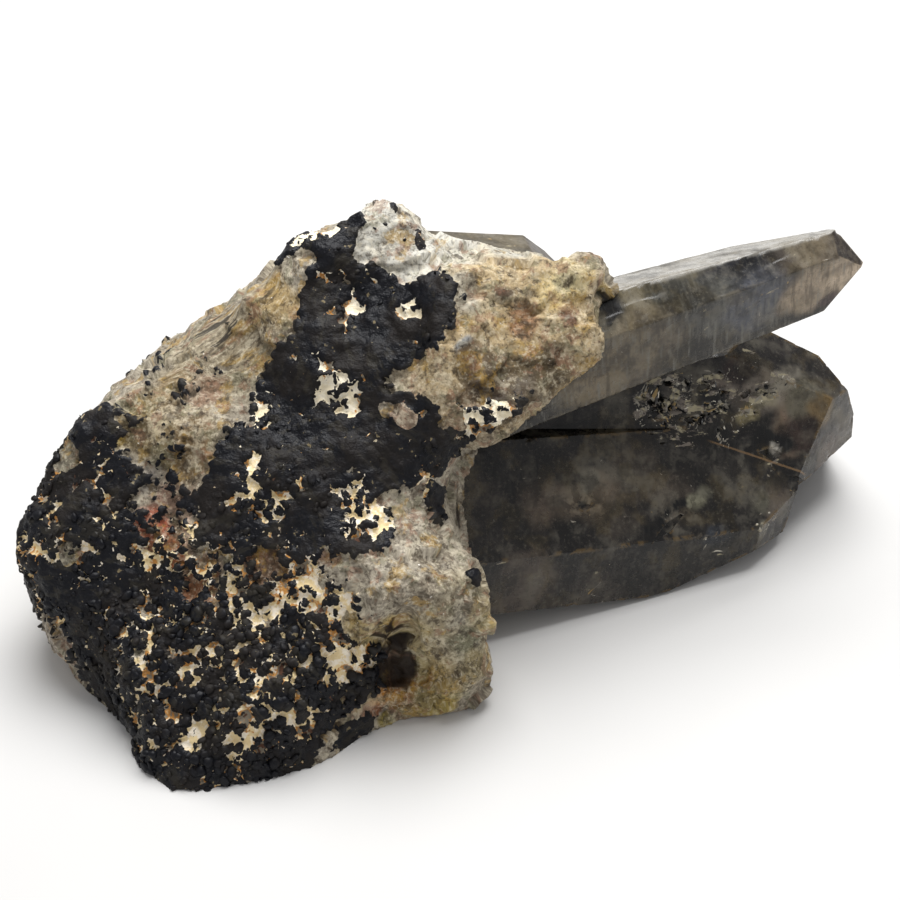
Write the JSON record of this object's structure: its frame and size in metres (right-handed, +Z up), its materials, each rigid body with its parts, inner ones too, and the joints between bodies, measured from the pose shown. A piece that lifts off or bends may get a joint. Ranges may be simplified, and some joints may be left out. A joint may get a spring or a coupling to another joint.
{
  "type": "morion quartz",
  "caption": "Smoky, nearly black quartz crystals with flat faces and slanted tips, growing sideways out of a lump of rock crusted in black.",
  "frame": {"origin": "centre of the bounding box's bottom face, on the surface that the lump rests on", "axes": "+X along the crystals from the rock towards their tips, +Y away from the side that the picture shows, +Z up"},
  "size_m": [0.1688, 0.1104, 0.0802],
  "materials": {
    "rock": "rough, with a half-gloss black crust, cream clay and rust stains",
    "smoky_quartz": "glossy, smoky and faintly see-through",
    "dark_quartz": "glossy, nearly black, pitted",
    "grey_quartz": "dull, grey-brown"
  },
  "bodies": {
    "root": {"matrix": "rock", "upper_crystal": "smoky_quartz", "lower_crystals": "dark_quartz", "back_crystal": "grey_quartz"}
  },
  "joints": []
}
